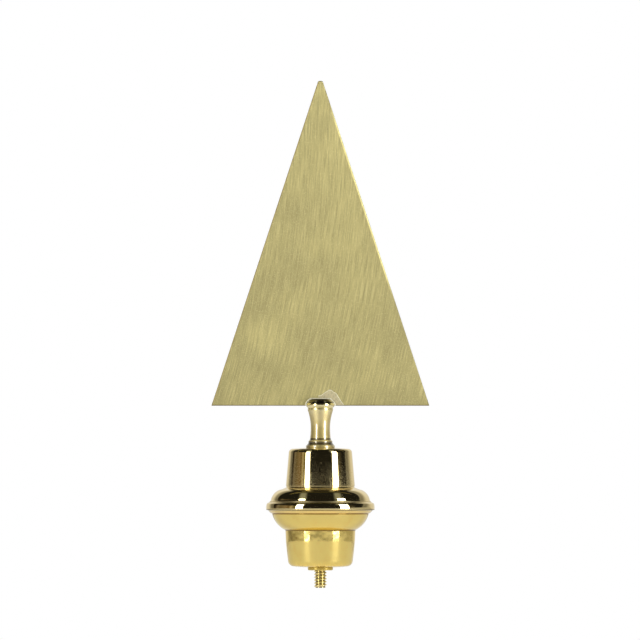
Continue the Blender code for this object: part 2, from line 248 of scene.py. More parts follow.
class FinialNeck(bpy.types.PropertyGroup):
    """Sizes and colour of the turned neck, from its foot up."""

    foot_edge: length("Foot edge", "Height of the upright edge of the foot", 0.001)
    cove_height: length("Cove height", "Height of the cove above the foot", 0.0015)
    cove_depth: length("Cove depth", "Depth of that cove", 0.0001)
    lower_bead_diameter: length(
        "Lower bead diameter", "Diameter of the lower bead at its ends", 0.0119
    )
    lower_bead_height: length("Lower bead height", "Height of the lower bead", 0.0013)
    lower_bead_rise: length("Lower bead rise", "How far the lower bead bulges", 0.0003)
    groove_diameter: length(
        "Groove diameter", "Diameter in the groove above the lower bead", 0.0108
    )
    groove_height: length("Groove height", "Height of that groove", 0.0005)
    shaft_foot_diameter: length("Shaft foot diameter", "Diameter of the shaft at its foot", 0.0104)
    waist_diameter: length("Waist diameter", "Diameter of the shaft at its waist", 0.00966)
    shaft_top_diameter: length("Shaft top diameter", "Diameter of the shaft at its top", 0.0122)
    waist_height: length("Waist height", "Height of the waist above the foot of the shaft", 0.0056)
    upper_bead_diameter: length(
        "Upper bead diameter", "Diameter of the upper bead at its top", 0.0125
    )
    upper_bead_height: length("Upper bead height", "Height of the upper bead", 0.0019)
    upper_bead_rise: length("Upper bead rise", "How far the upper bead bulges", 0.0002)
    head_diameter: length("Head diameter", "Diameter of the head that holds the plate", 0.0142)
    roll_height: length("Roll height", "Height of the rolled underside of the head", 0.002)
    roll_rise: length("Roll rise", "How far that roll bulges", 0.0004)
    crown_height: length("Crown height", "Height of the rounded top of the head", 0.0024)
    crown_rise: length("Crown rise", "How far the top of the head bulges", 0.00022)
    head_top_diameter: length("Head top diameter", "Diameter of the flat on the head", 0.01)
    slot_depth: length("Slot depth", "Depth of the slot that takes the plate", 0.0037)
    metal: colour("Metal", "Colour of the turned brass", (0.95, 0.82, 0.39))
    roughness: share("Roughness", "Roughness of the polished beads and the head", 0.12)
    shaft_roughness: share("Shaft roughness", "Roughness of the satin shaft", 0.7)


class FinialUpperShell(bpy.types.PropertyGroup):
    """Sizes and colour of the upper shell: rolled ring, shoulder, cove and cap."""

    chamfer_height: length("Chamfer height", "Height of the chamfer under the ring", 0.0015)
    chamfer_rise: length("Chamfer rise", "How far that chamfer bulges", 0.00008)
    chamfer_foot_diameter: length("Chamfer foot", "Diameter at the foot of the chamfer", 0.0492)
    chamfer_top_diameter: length("Chamfer top", "Diameter at the top of the chamfer", 0.0522)
    underside_height: length(
        "Underside height", "How far the underside of the ring slopes", 0.00015
    )
    foot_round: length("Foot round", "Radius on the lower edge of the ring", 0.0002)
    band_height: length("Band height", "Height of the wall of the ring", 0.00295)
    band_lower_diameter: length("Band foot", "Diameter at the foot of the wall of the ring", 0.0542)
    band_upper_diameter: length("Band top", "Diameter at the top of the wall of the ring", 0.0538)
    band_rise: length("Band rise", "How far the wall of the ring bulges", 0.00016)
    corner_height: length("Corner height", "Height of the round upper corner of the ring", 0.0007)
    corner_diameter: length("Corner diameter", "Diameter at the top of that corner", 0.0522)
    corner_rise: length("Corner rise", "How far the upper corner bulges", 0.00015)
    slope_height: length("Slope height", "Height of the slope up to the shoulder", 0.0011)
    slope_depth: length("Slope depth", "How far that slope is hollowed", 0.00012)
    shoulder_height: length("Shoulder height", "Height of the convex shoulder", 0.0053)
    shoulder_foot_diameter: length("Shoulder foot", "Diameter at the foot of the shoulder", 0.0497)
    shoulder_top_diameter: length("Shoulder top", "Diameter at the top of the shoulder", 0.0414)
    shoulder_rise: length("Shoulder rise", "How far the shoulder bulges", 0.00086)
    cove_height: length("Cove height", "Height of the cove under the cap", 0.0019)
    cove_depth: length("Cove depth", "Depth of that cove", 0.0001)
    cove_step: length("Cove step", "How far the cap stands over the cove", 0.0002)
    cove_wall: length("Cove wall", "Height of the upright wall in the cove", 0.0006)
    cap_foot_diameter: length("Cap foot", "Diameter of the cap at its foot", 0.0345)
    cap_top_diameter: length("Cap top", "Diameter of the cap at its top", 0.0314)
    cap_round: length("Cap round", "Radius on the upper edge of the cap", 0.002)
    cap_crown: length("Cap crown", "How far the top of the cap is domed", 0.0005)
    metal: colour("Metal", "Colour of the polished brass", (0.88, 0.74, 0.40))
    under_metal: colour(
        "Metal under the ring", "Colour of the warmer brass under the ring", (0.90, 0.68, 0.26)
    )
    roughness: share("Roughness", "Roughness of the polish", 0.03)


class FinialLowerShell(bpy.types.PropertyGroup):
    """Sizes and colour of the lower shell: convex bowl and the cup below it."""

    bowl_height: length("Bowl height", "Height of the convex bowl", 0.0079)
    bowl_foot_diameter: length("Bowl foot", "Diameter at the foot of the bowl", 0.0357)
    bowl_rise: length("Bowl rise", "How far the bowl bulges", 0.00113)
    fillet_height: length("Fillet height", "Height of the fillet between bowl and cup", 0.0006)
    cup_top_diameter: length("Cup top", "Diameter of the cup at its top", 0.035)
    cup_band_height: length(
        "Cup band height", "Height of the upright band at the top of the cup", 0.0048
    )
    cup_band_diameter: length(
        "Cup band foot", "Diameter of the cup at the foot of that band", 0.0346
    )
    cup_foot_diameter: length("Cup foot", "Diameter of the cup above its round corner", 0.0324)
    cup_round: length("Cup round", "Radius on the lower corner of the cup", 0.003)
    wall_rise: length("Wall rise", "How far the wall of the cup bulges", 0.00006)
    belly: length("Belly", "How far the underside hangs at the middle", 0.00045)
    belly_rise: length("Belly rise", "How far the slope of the underside bulges", 0.0001)
    metal: colour("Metal", "Colour of the polished brass", (0.86, 0.67, 0.215))
    roughness: share("Roughness", "Roughness of the polish", 0.075)


class FinialStud(bpy.types.PropertyGroup):
    """Sizes and colours of the washer and the threaded stud."""

    washer_round: length("Washer round", "Radius on the lower edge of the washer", 0.0006)
    bore_room: length("Bore room", "Room round the stud in the washer", 0.0003)
    pitch: length("Pitch", "Rise of the thread in one turn", 0.00148)
    thread_depth: length("Thread depth", "Depth of the thread", 0.0008)
    crest: length("Crest", "Height of the flat on a crest", 0.0002)
    root: length("Root", "Height of the flat in a root", 0.0003)
    washer_metal: colour("Washer metal", "Colour of the dull washer", (0.76, 0.60, 0.18))
    stud_metal: colour("Stud metal", "Colour of the cut thread", (0.86, 0.76, 0.42))


class FinialSolder(bpy.types.PropertyGroup):
    """Sizes and colours of the solder round the head of the neck."""

    bead_diameter: length("Bead diameter", "Thickness of the line of solder round the head", 0.0013)
    film_thickness: length(
        "Film thickness", "Thickness of the solder that ran out beside the head", 0.00006
    )
    rim_diameter: length("Rim diameter", "Thickness of the light rim of the film", 0.0004)
    metal: colour("Metal", "Colour of the solder", (1.0, 0.96, 0.72))
    film: colour("Film", "Colour of the thin film of solder and flux", (0.70, 0.62, 0.38))


class FinialStage(bpy.types.PropertyGroup):
    """Camera, floor and lights."""

    camera_distance: length("Camera distance", "From the camera to the axis of the finial", 12.0)
    floor_radius: length("Floor radius", "Radius of the pale table that the finial stands on", 0.34)
    box_distance: length("Softbox distance", "From each softbox to the finial", 1.3)
    box_radiance: FloatProperty(
        name="Softbox radiance",
        description="Brightness of the face of a softbox",
        default=7.0,
        min=0.0,
    )
    table_glow: FloatProperty(
        name="Table glow",
        description="Brightness of the table seen in the metal",
        default=0.47,
        min=0.0,
    )
    room: colour("Dark room", "Colour of the room behind the camera", (0.014, 0.013, 0.011))
    wall: colour("Wall", "Colour of the wall behind the finial", (0.78, 0.74, 0.66))


class FinialSettings(bpy.types.PropertyGroup):
    """Everything that the user can set."""

    segments: IntProperty(
        name="Segments", description="Facets round a turned piece", default=192, min=24, max=512
    )
    edge_ease: length("Edge ease", "Width of the round on a turned edge", 0.00014)
    plate: PointerProperty(type=FinialPlate)
    neck: PointerProperty(type=FinialNeck)
    upper_shell: PointerProperty(type=FinialUpperShell)
    lower_shell: PointerProperty(type=FinialLowerShell)
    stud: PointerProperty(type=FinialStud)
    solder: PointerProperty(type=FinialSolder)
    stage: PointerProperty(type=FinialStage)


# Profiles and meshes


def arc(start, end, rise, steps):
    """The points after start on a circular arc to end, which stands rise proud of its chord.

    A rise below nothing makes a cove, and no rise a straight line.
    """
    start, end = Vector(start), Vector(end)
    if not rise:
        return [tuple(end)]
    chord = end - start
    along = chord.normalized()
    outward = Vector((-along.y, along.x))
    half_angle = 2 * math.atan2(2 * rise, chord.length)
    radius = chord.length / (2 * math.sin(half_angle))
    points = []
    for step in range(1, steps + 1):
        turn = half_angle * (2 * step / steps - 1)
        distance = chord.length / 2 + radius * math.sin(turn)
        proud = radius * (math.cos(turn) - math.cos(half_angle))
        points.append(tuple(start + along * distance + outward * proud))
    return points


def quarter(start, end, steps):
    """The points after start on a quarter circle that bulges outward to end."""
    return arc(start, end, (Vector(end) - Vector(start)).length * QUARTER_RISE, steps)


def turned(profile, segments, edge_ease, closed=False):
    """A bmesh turned about the Z axis, its sharp edges eased; a closed profile makes a ring."""
    shape = bmesh.new()
    verts = [shape.verts.new((radius, 0.0, height)) for radius, height in profile]
    line = verts + verts[:1] if closed else verts
    edges = [shape.edges.new(pair) for pair in zip(line, line[1:])]
    bmesh.ops.spin(
        shape,
        geom=verts + edges,
        cent=(0, 0, 0),
        axis=(0, 0, 1),
        angle=2 * math.pi,
        steps=segments,
        use_merge=True,
    )
    bmesh.ops.remove_doubles(shape, verts=shape.verts, dist=MERGE_DISTANCE)
    bmesh.ops.recalc_face_normals(shape, faces=shape.faces)
    ease_edges(shape, edge_ease)
    return shape


def ease_edges(shape, width, segments=3):
    """Rounds every sharp edge of a closed bmesh."""
    sharp = [edge for edge in shape.edges if edge.calc_face_angle(0.0) > SHARP_EDGE_ANGLE]
    bmesh.ops.bevel(
        shape,
        geom=sharp,
        offset=width,
        offset_type="OFFSET",
        segments=segments,
        profile=0.5,
        affect="EDGES",
        clamp_overlap=True,
        material=-1,
    )


def add_object(name, data):
    """A new object in the scene."""
    added = bpy.data.objects.new(name, data)
    bpy.context.scene.collection.objects.link(added)
    return added


def new_piece(name, shape, material, slot, *nodes):
    """Turns a bmesh into a smooth piece that rides with the frame and stands for its nodes."""
    mesh = bpy.data.meshes.new(name)
    shape.to_mesh(mesh)
    shape.free()
    mesh.materials.append(material)
    mesh.shade_smooth()
    mesh.set_sharp_from_angle(angle=SMOOTH_SHADING_ANGLE)
    piece = add_object(name, mesh)
    even = piece.modifiers.new("Even shading", "WEIGHTED_NORMAL")
    even.keep_sharp = True
    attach(piece, BODY)
    if nodes:
        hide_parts(*nodes)
    return piece


# Materials


class Tree:
    """A node tree that is written step by step."""

    def __init__(self, tree):
        self.tree = tree

    def feed(self, node, inputs):
        """Sets the inputs of a node; one that is given as a socket is linked to it."""
        for name, value in inputs.items():
            if isinstance(value, bpy.types.NodeSocket):
                self.tree.links.new(value, node.inputs[name])
            else:
                node.inputs[name].default_value = value

    def node(self, kind, inputs=None, **settings):
        """A new node with its settings and its inputs."""
        node = self.tree.nodes.new(kind)
        for name, value in settings.items():
            setattr(node, name, value)
        self.feed(node, inputs or {})
        return node

    def math(self, operation, *values):
        return self.node("ShaderNodeMath", dict(enumerate(values)), operation=operation).outputs[0]

    def total(self, first, *others):
        for value in others:
            first = self.math("ADD", first, value)
        return first

    def product(self, first, *others):
        for value in others:
            first = self.math("MULTIPLY", first, value)
        return first

    def vector(self, operation, *values):
        found = self.node("ShaderNodeVectorMath", dict(enumerate(values)), operation=operation)
        return found.outputs["Value" if operation == "LENGTH" else "Vector"]

    def parts(self, vector):
        """The x, y and z of a vector."""
        return self.node("ShaderNodeSeparateXYZ", {0: vector}).outputs[:3]

    def join(self, x, y, z):
        return self.node("ShaderNodeCombineXYZ", {0: x, 1: y, 2: z}).outputs[0]

    def noise(self, vector, scale, detail=2.0, roughness=0.5):
        inputs = {"Vector": vector, "Scale": scale, "Detail": detail, "Roughness": roughness}
        return self.node("ShaderNodeTexNoise", inputs).outputs["Fac"]

    def fit(self, value, low, high, new_low=0.0, new_high=1.0):
        """The value taken smoothly from low and high to the new range, and kept inside it."""
        inputs = {0: value, 1: low, 2: high, 3: new_low, 4: new_high}
        return self.node("ShaderNodeMapRange", inputs, interpolation_type="SMOOTHSTEP").outputs[0]

    def blend(self, factor, first, second):
        """A colour between the first and the second."""
        first, second = (
            value if isinstance(value, bpy.types.NodeSocket) else (*value, 1.0)
            for value in (first, second)
        )
        inputs = {0: factor, 6: first, 7: second}
        return self.node("ShaderNodeMix", inputs, data_type="RGBA").outputs[2]

    def bump(self, height, strength, distance):
        inputs = {"Height": height, "Strength": strength, "Distance": distance}
        return self.node("ShaderNodeBump", inputs).outputs[0]

    def group(self, group, inputs):
        return self.node("ShaderNodeGroup", inputs, node_tree=group).outputs


def new_group(name, inputs, outputs):
    """A shader node group with its Tree, its input sockets and its output node."""
    group = bpy.data.node_groups.new(name, "ShaderNodeTree")
    for direction, sockets in (("INPUT", inputs), ("OUTPUT", outputs)):
        for socket, kind in sockets.items():
            group.interface.new_socket(socket, in_out=direction, socket_type="NodeSocket" + kind)
    tree = Tree(group)
    return group, tree, tree.node("NodeGroupInput").outputs, tree.node("NodeGroupOutput")


def lathe_lines():
    """Fine lines round the axis that spinning and polishing leave, from 0 to 1."""
    name = "Lathe lines"
    if name in bpy.data.node_groups:
        return bpy.data.node_groups[name]
    inputs = {"Vector": "Vector", "Spacing": "Float"}
    group, tree, given, output = new_group(name, inputs, {"Lines": "Float"})
    x, y, z = tree.parts(given["Vector"])
    radius = tree.vector("LENGTH", tree.join(x, y, 0.0))
    wander = tree.noise(given["Vector"], LINE_WANDER_SCALE)
    density = tree.math("DIVIDE", 1.0, given["Spacing"])
    across = tree.total(tree.product(radius, density), wander)
    along = tree.product(z, density)
    lines = tree.noise(tree.join(across, along, 0.0), 1.0, detail=3.0, roughness=0.6)
    tree.feed(output, {"Lines": lines})
    return group


def handling():
    """Faint smears and specks from handling and old polish, from 0 to 1."""
    name = "Handling"
    if name in bpy.data.node_groups:
        return bpy.data.node_groups[name]
    outputs = {"Smears": "Float", "Specks": "Float"}
    group, tree, given, output = new_group(name, {"Vector": "Vector"}, outputs)
    place = given["Vector"]
    broad = tree.noise(place, SMEAR_SCALE, detail=3.0, roughness=0.6)
    fine = tree.noise(place, SMEAR_GRAIN_SCALE, detail=2.0, roughness=0.6)
    smears = tree.product(tree.fit(broad, 0.42, 0.68), tree.fit(fine, 0.3, 0.7))
    dust = tree.node("ShaderNodeTexVoronoi", {"Vector": place, "Scale": DUST_SCALE})
    near = tree.fit(dust.outputs["Distance"], 0.16, 0.05)
    specks = tree.product(near, tree.fit(broad, 0.45, 0.6))
    tree.feed(output, {"Smears": smears, "Specks": specks})
    return group


def brush_strokes():
    """Strokes of a wire brush that swing in a long arc about a far point, from 0 to 1."""
    name = "Brush strokes"
    if name in bpy.data.node_groups:
        return bpy.data.node_groups[name]
    inputs = {"Vector": "Vector", "Width": "Float", "Length": "Float"}
    group, tree, given, output = new_group(name, inputs, {"Strokes": "Float"})
    x, y, z = tree.parts(tree.vector("SUBTRACT", given["Vector"], SWING_CENTRE))
    radius = tree.vector("LENGTH", tree.join(x, 0.0, z))
    swept = tree.product(tree.math("ARCTAN2", z, x), -SWING_CENTRE[0])
    across = tree.math("DIVIDE", radius, given["Width"])
    along = tree.math("DIVIDE", swept, given["Length"])
    side = tree.product(y, STROKE_LAYERS)
    strokes = tree.noise(tree.join(across, along, side), 1.0, detail=2.0, roughness=0.65)
    tree.feed(output, {"Strokes": strokes})
    return group


def new_material(name):
    """A material with its Tree, its shader and the object's coordinates."""
    material = bpy.data.materials.new(name)
    material.use_nodes = True
    tree = Tree(material.node_tree)
    shader = material.node_tree.nodes["Principled BSDF"]
    place = tree.node("ShaderNodeTexCoord").outputs["Object"]
    return material, tree, shader, place


def scaled(metal, shares):
    """The metal's colour with each channel taken down to its share."""
    return tuple(channel * share for channel, share in zip(metal, shares))


def turned_metal(
    name,
    metal,
    roughness,
    *,
    spacing,
    line_strength,
    wear,
    stretch,
    dull=None,
    haze=None,
    shade_and_stain_lines=(),
    under=None,
    groove_shade=None,
    dents=0.0,
    lacquer=0.0,
):
    """Brass with lathe lines, smears and specks; wear is how much the smears dull it.

    The lines run round the axis, so they stretch every reflection along the profile.
    A dull band is its lowest and highest point and the roughness that it adds.
    Haze is fine scratches: the height where they begin, the height below it where they lie
    thickest and end, and how much of the surface they take at most.
    A line is a dark band round the piece, painted shade, a painted reflection or a stain: its height,
    half of its width and its colour.
    Under is the height below which the metal has another colour, and that colour.
    Groove shade is painted shade in the roots of the thread: the radius where it begins and the
    radius where it is darkest.
    Dents is the height of soft, broad unevenness.
    Lacquer is how much of a clear, glossy coat lies over the metal.
    """
    material, tree, shader, place = new_material(name)
    lines = tree.group(lathe_lines(), {"Vector": place, "Spacing": spacing})["Lines"]
    marks = tree.group(handling(), {"Vector": place})
    x, y, height = tree.parts(place)
    darker = scaled(metal, TARNISH_SHARES)
    tarnish = tree.fit(tree.noise(place, TARNISH_SCALE, detail=3.0), 0.45, 0.75, 0.0, 0.35)
    base = tree.blend(tarnish, metal, darker)
    base = tree.blend(tree.product(marks["Specks"], 0.5), base, darker)
    dulled = tree.math("MULTIPLY_ADD", marks["Smears"], wear, roughness)
    if under:
        border, warmer = under
        base = tree.blend(tree.fit(height, border, border - BORDER_WIDTH), base, warmer)
    # Dark lines round the piece: painted shade, painted reflections and stains
    for line_z, half_width, line_colour in shade_and_stain_lines:
        away = tree.math("ABSOLUTE", tree.math("SUBTRACT", height, line_z))
        base = tree.blend(tree.fit(away, half_width, half_width / 3, 0.0, 0.85), base, line_colour)
    if groove_shade:
        unshaded_radius, darkest_radius = groove_shade
        # Painted shade, darker towards the roots of the thread
        radius = tree.vector("LENGTH", tree.join(x, y, 0.0))
        groove_shade_mask = tree.fit(radius, unshaded_radius, darkest_radius, 0.0, 0.6)
        base = tree.blend(groove_shade_mask, base, GROOVE_SHADE)
    if dull:
        low, high, more = dull
        soft = (high - low) / 4
        band = tree.product(tree.fit(height, low, low + soft), tree.fit(height, high, high - soft))
        dulled = tree.math("MULTIPLY_ADD", band, more, dulled)
    if haze:
        start, thickest, most = haze
        scratches = tree.noise(place, SCRATCH_SCALE, detail=1.0)
        ends = tree.fit(height, thickest - HAZE_END, thickest - HAZE_END / 5)
        cover = tree.product(tree.fit(height, start, thickest, 0.0, most), ends)
        hazy = tree.fit(tree.total(scratches, cover), 0.70, 0.76)
        dulled = tree.math("MULTIPLY_ADD", hazy, HAZE_ROUGHNESS, dulled)
    lined = tree.math("MULTIPLY_ADD", lines, 0.02, dulled)
    relief = tree.product(lines, line_strength)
    if dents:
        uneven = tree.noise(place, DENT_SCALE, detail=1.0)
        relief = tree.math("MULTIPLY_ADD", uneven, dents / LINE_DEPTH, relief)
    tree.feed(
        shader,
        {
            "Base Color": base,
            "Roughness": lined,
            "Metallic": 1.0,
            "Anisotropic": stretch,
            "Anisotropic Rotation": 0.25,
            "Tangent": tree.vector("CROSS_PRODUCT", (0.0, 0.0, 1.0), place),
            "Normal": tree.bump(relief, 1.0, LINE_DEPTH),
            "Coat Weight": lacquer,
            "Coat Roughness": 0.08,
            "Coat IOR": 2.2,
        },
    )
    return material


def clouded_sheet(tree, place, settings):
    """Colour of the plate before it was brushed: soft clouds, thicker and darker lower down."""
    metal, shade = tuple(settings.metal), tuple(settings.shade)
    height = tree.parts(place)[2]
    lean = {"Vector": place, "Rotation": CLOUD_LEAN, "Scale": CLOUD_SCALES}
    leaned = tree.node("ShaderNodeMapping", lean).outputs[0]
    clouds = tree.fit(tree.noise(leaned, 1.0, detail=2.0, roughness=0.45), 0.36, 0.64, 0.0, 0.5)
    blotches = tree.fit(tree.noise(place, BLOTCH_SCALE, detail=1.0, roughness=0.4), 0.38, 0.64)
    low = tree.fit(height, 0.215, 0.155, 0.2, 0.75)
    middle = tree.product(tree.fit(height, 0.205, 0.175, 0.0, 0.28), tree.fit(height, 0.105, 0.13))
    for cover in (clouds, tree.product(blotches, low), middle):
        metal = tree.blend(cover, metal, shade)
    return metal


def edge_darkening_and_highlight(tree, place, settings, base):
    """The plate's colour, darker along its foot and left edge, with a painted highlight of the right
    softbox along its right edge.
    """
    x, height = tree.parts(place)[0], tree.parts(place)[2]
    foot = tree.fit(height, PLATE_LOW.z + 0.0006, PLATE_LOW.z + 0.0002, 0.0, 0.8)
    slope = (settings.tip_width - settings.width) / 2 / (PLATE_HIGH.z - PLATE_LOW.z)
    half = tree.math("MULTIPLY_ADD", height, slope, settings.width / 2 - slope * PLATE_LOW.z)
    # Painted highlight: a bright band along the right edge, where the right softbox would shine
    painted_highlight = tree.product(
        tree.fit(tree.math("SUBTRACT", half, x), 0.0010, 0.0005),
        tree.fit(height, 0.135, 0.15),
        tree.fit(height, 0.232, 0.222),
    )
    left = tree.fit(tree.total(half, x), 0.0006, 0.0003, 0.0, 0.5)
    base = tree.blend(foot, base, FOOT_DARK)
    base = tree.blend(painted_highlight, base, PAINTED_EDGE_HIGHLIGHT)
    return tree.blend(left, base, LEFT_EDGE_DARK)


def brushed_metal(name, settings):
    """Brushed brass sheet: fine and broad strokes and grain over soft clouds, edges darkened and a
    painted highlight along the right edge.
    """
    material, tree, shader, place = new_material(name)
    fine, broad = (
        tree.group(brush_strokes(), {"Vector": place, "Width": width, "Length": run})["Strokes"]
        for width, run in (FINE_STROKE, BROAD_STROKE)
    )
    strokes = tree.total(tree.product(fine, 0.7), tree.product(broad, 0.3))
    grain = tree.noise(place, SHEET_GRAIN_SCALE, detail=1.0)
    base = clouded_sheet(tree, place, settings)
    dark_stroke = tuple(channel * 0.72 for channel in settings.shade)
    base = tree.blend(tree.fit(strokes, 0.57, 0.38, 0.0, 0.62), base, dark_stroke)
    base = tree.blend(tree.fit(strokes, 0.53, 0.68, 0.0, 0.34), base, LIGHT_STROKE)
    base = tree.blend(tree.fit(grain, 0.55, 0.72, 0.0, 0.42), base, LIGHT_GRAIN)
    base = edge_darkening_and_highlight(tree, place, settings, base)
    outward = tree.vector("SUBTRACT", place, SWING_CENTRE)
    across = tree.vector("MULTIPLY", outward, (1.0, 0.0, 1.0))
    tree.feed(
        shader,
        {
            "Base Color": base,
            "Roughness": tree.math("MULTIPLY_ADD", strokes, 0.16, settings.roughness - 0.08),
            "Metallic": 1.0,
            "Anisotropic": settings.stretch,
            "Tangent": tree.vector("NORMALIZE", across),
            "Normal": tree.bump(strokes, 0.4, STROKE_DEPTH),
        },
    )
    return material


def solder_metal(name, metal, roughness, metallic):
    """Solder that ran and set, slightly uneven."""
    material, tree, shader, place = new_material(name)
    lumps = tree.noise(place, LUMP_SCALE, detail=3.0, roughness=0.6)
    darker = tuple(channel * 0.75 for channel in metal)
    tree.feed(
        shader,
        {
            "Base Color": tree.blend(tree.fit(lumps, 0.4, 0.7), metal, darker),
            "Roughness": tree.math("MULTIPLY_ADD", lumps, 0.2, roughness - 0.1),
            "Metallic": metallic,
            "Normal": tree.bump(lumps, 0.4, LUMP_DEPTH),
        },
    )
    return material


# Pieces


class FINIAL_OT_plate(bpy.types.Operator):
    """Make the brushed triangular plate."""

    bl_idname = "finial.plate"
    bl_label = "Plate"

    def execute(self, context):
        sizes = context.scene.finial.plate
        half, tip = sizes.width / 2, sizes.tip_width / 2
        front = -sizes.thickness / 2
        shape = bmesh.new()
        low, high = PLATE_LOW.z, PLATE_HIGH.z
        corners = ((-half, low), (half, low), (tip, high), (-tip, high))
        face = shape.faces.new([shape.verts.new((x, front, z)) for x, z in corners])
        sheet = bmesh.ops.extrude_face_region(shape, geom=[face])["geom"]
        moved = [item for item in sheet if isinstance(item, bmesh.types.BMVert)]
        bmesh.ops.translate(shape, verts=moved, vec=(0, sizes.thickness, 0))
        bmesh.ops.recalc_face_normals(shape, faces=shape.faces)
        tip_corners = [
            edge for edge in shape.edges
            if all(vert.co.z > high - MERGE_DISTANCE for vert in edge.verts)
            and abs(edge.verts[0].co.x - edge.verts[1].co.x) < MERGE_DISTANCE
        ]
        bmesh.ops.bevel(
            shape,
            geom=tip_corners,
            offset=sizes.tip_round,
            segments=5,
            profile=0.5,
            affect="EDGES",
            material=-1,
        )
        ease_edges(shape, sizes.edge_round)
        material = brushed_metal("brushed brass sheet", sizes)
        new_piece("plate", shape, material, "brushed_plate", "triangle_plate")
        return {"FINISHED"}


def shaft_profile(sizes, foot_z, top_z, steps):
    """The waisted shaft from its top to its foot, a parabola above the waist and one below."""
    waist_z = foot_z + sizes.waist_height
    waist_radius = sizes.waist_diameter / 2
    points = []
    ends = ((sizes.shaft_top_diameter, top_z), (sizes.shaft_foot_diameter, foot_z))
    for end_diameter, end_z in ends:
        spread = end_diameter / 2 - waist_radius
        reach = end_z - waist_z
        half = [
            (waist_radius + spread * (step / steps) ** 2, waist_z + reach * step / steps)
            for step in range(steps + 1)
        ]
        points += half[::-1] if end_z > waist_z else half[1:]
    return points


def neck_profile(sizes):
    """The neck's profile from the flat on its head to the middle of its foot."""
    foot_z = UPPER_HIGH.z + TOUCH
    foot_radius = NECK_HIGH.x
    edge_z = foot_z + sizes.foot_edge
    bead_z = edge_z + sizes.cove_height
    groove_z = bead_z + sizes.lower_bead_height
    shaft_foot_z = groove_z + sizes.groove_height
    crown_z = NECK_HIGH.z - sizes.crown_height
    roll_z = crown_z - sizes.roll_height
    shaft_top_z = roll_z - sizes.upper_bead_height
    crown_start = (sizes.head_top_diameter / 2, NECK_HIGH.z)
    crown_end = (sizes.head_diameter / 2, crown_z)
    roll_foot = (sizes.upper_bead_diameter / 2, roll_z)
    bead_foot = (sizes.lower_bead_diameter / 2, bead_z)
    groove = (sizes.groove_diameter / 2, groove_z)
    shaft = shaft_profile(sizes, shaft_foot_z, shaft_top_z, 14)
    profile = [(0, NECK_HIGH.z), crown_start]
    profile += arc(crown_start, crown_end, sizes.crown_rise, 12)
    profile += arc(crown_end, roll_foot, sizes.roll_rise, 8)
    profile += arc(roll_foot, shaft[0], sizes.upper_bead_rise, 8)
    profile += shaft[1:]
    profile += [groove]
    profile += arc(groove, bead_foot, sizes.lower_bead_rise, 8)
    profile += arc(bead_foot, (foot_radius, edge_z), -sizes.cove_depth, 6)
    profile += [(foot_radius, foot_z), (0, foot_z)]
    return profile


class FINIAL_OT_neck(bpy.types.Operator):
    """Turn the neck and cut the slot that takes the plate."""

    bl_idname = "finial.neck"
    bl_label = "Neck"

    def execute(self, context):
        settings = context.scene.finial
        sizes = settings.neck
        shape = turned(neck_profile(sizes), settings.segments, settings.edge_ease / 2)
        slot_floor = NECK_HIGH.z - sizes.slot_depth
        slot_half = settings.plate.thickness / 2 + TOUCH
        for point, normal in (
            ((0, -slot_half, 0), (0, 1, 0)),
            ((0, slot_half, 0), (0, 1, 0)),
            ((0, 0, slot_floor), (0, 0, 1)),
        ):
            whole = shape.verts[:] + shape.edges[:] + shape.faces[:]
            bmesh.ops.bisect_plane(shape, geom=whole, plane_co=point, plane_no=normal)
        in_slot = [
            face for face, middle in ((face, face.calc_center_median()) for face in shape.faces)
            if abs(middle.y) < slot_half and middle.z > slot_floor
        ]
        bmesh.ops.delete(shape, geom=in_slot, context="FACES")
        close_slot(shape, slot_half, slot_floor)
        new_piece("neck", shape, self.neck_metal(sizes), "turned_neck", "neck")
        return {"FINISHED"}

    def neck_metal(self, sizes):
        """Polished brass with a satin shaft, painted shade in the cove and the groove, and painted
        reflections of the dark room on the head's crown.
        """
        cove_z = NECK_LOW.z + sizes.foot_edge + sizes.cove_height * 0.6
        bead_top_z = NECK_LOW.z + sizes.foot_edge + sizes.cove_height + sizes.lower_bead_height
        crown_z = NECK_HIGH.z - sizes.crown_height
        satin_top_z = crown_z - sizes.roll_height + SATIN_ABOVE
        return turned_metal(
            "turned brass",
            tuple(sizes.metal),
            sizes.roughness,
            spacing=0.0004,
            line_strength=0.25,
            wear=0.1,
            stretch=0.7,
            dull=(NECK_LOW.z - SATIN_BELOW, satin_top_z, sizes.shaft_roughness - sizes.roughness),
            shade_and_stain_lines=(
                # Painted shade in the cove and the groove
                (cove_z, 0.0012, NECK_COVE_SHADE),
                (bead_top_z + sizes.groove_height / 2, 0.0006, NECK_GROOVE_SHADE),
                # Painted reflections of the dark room on the crown
                (crown_z + 0.0007, 0.0008, CROWN_DARK_REFLECTION),
                (crown_z + 0.0020, 0.0007, CROWN_DARK_REFLECTION),
            ),
            lacquer=1.0,
        )


def close_slot(shape, slot_half, slot_floor):
    """Gives the open slot its floor and its two walls."""
    rim = [
        vert for vert in shape.verts
        if vert.is_boundary and abs(vert.co.z - slot_floor) < MERGE_DISTANCE
    ]
    for side in (-1, 1):
        corners = [vert for vert in rim if abs(vert.co.y - side * slot_half) < MERGE_DISTANCE]
        low, high = sorted(corners, key=lambda vert: vert.co.x)[:: len(corners) - 1]
        floor_edge = shape.edges.new((low, high))
        wall = [
            edge for edge in shape.edges
            if edge.is_boundary
            and all(abs(vert.co.y - side * slot_half) < MERGE_DISTANCE for vert in edge.verts)
            and all(vert.co.z > slot_floor - MERGE_DISTANCE for vert in edge.verts)
        ]
        bmesh.ops.contextual_create(shape, geom=wall + [floor_edge])
    bmesh.ops.holes_fill(shape, edges=[edge for edge in shape.edges if edge.is_boundary], sides=0)
    bmesh.ops.recalc_face_normals(shape, faces=shape.faces)


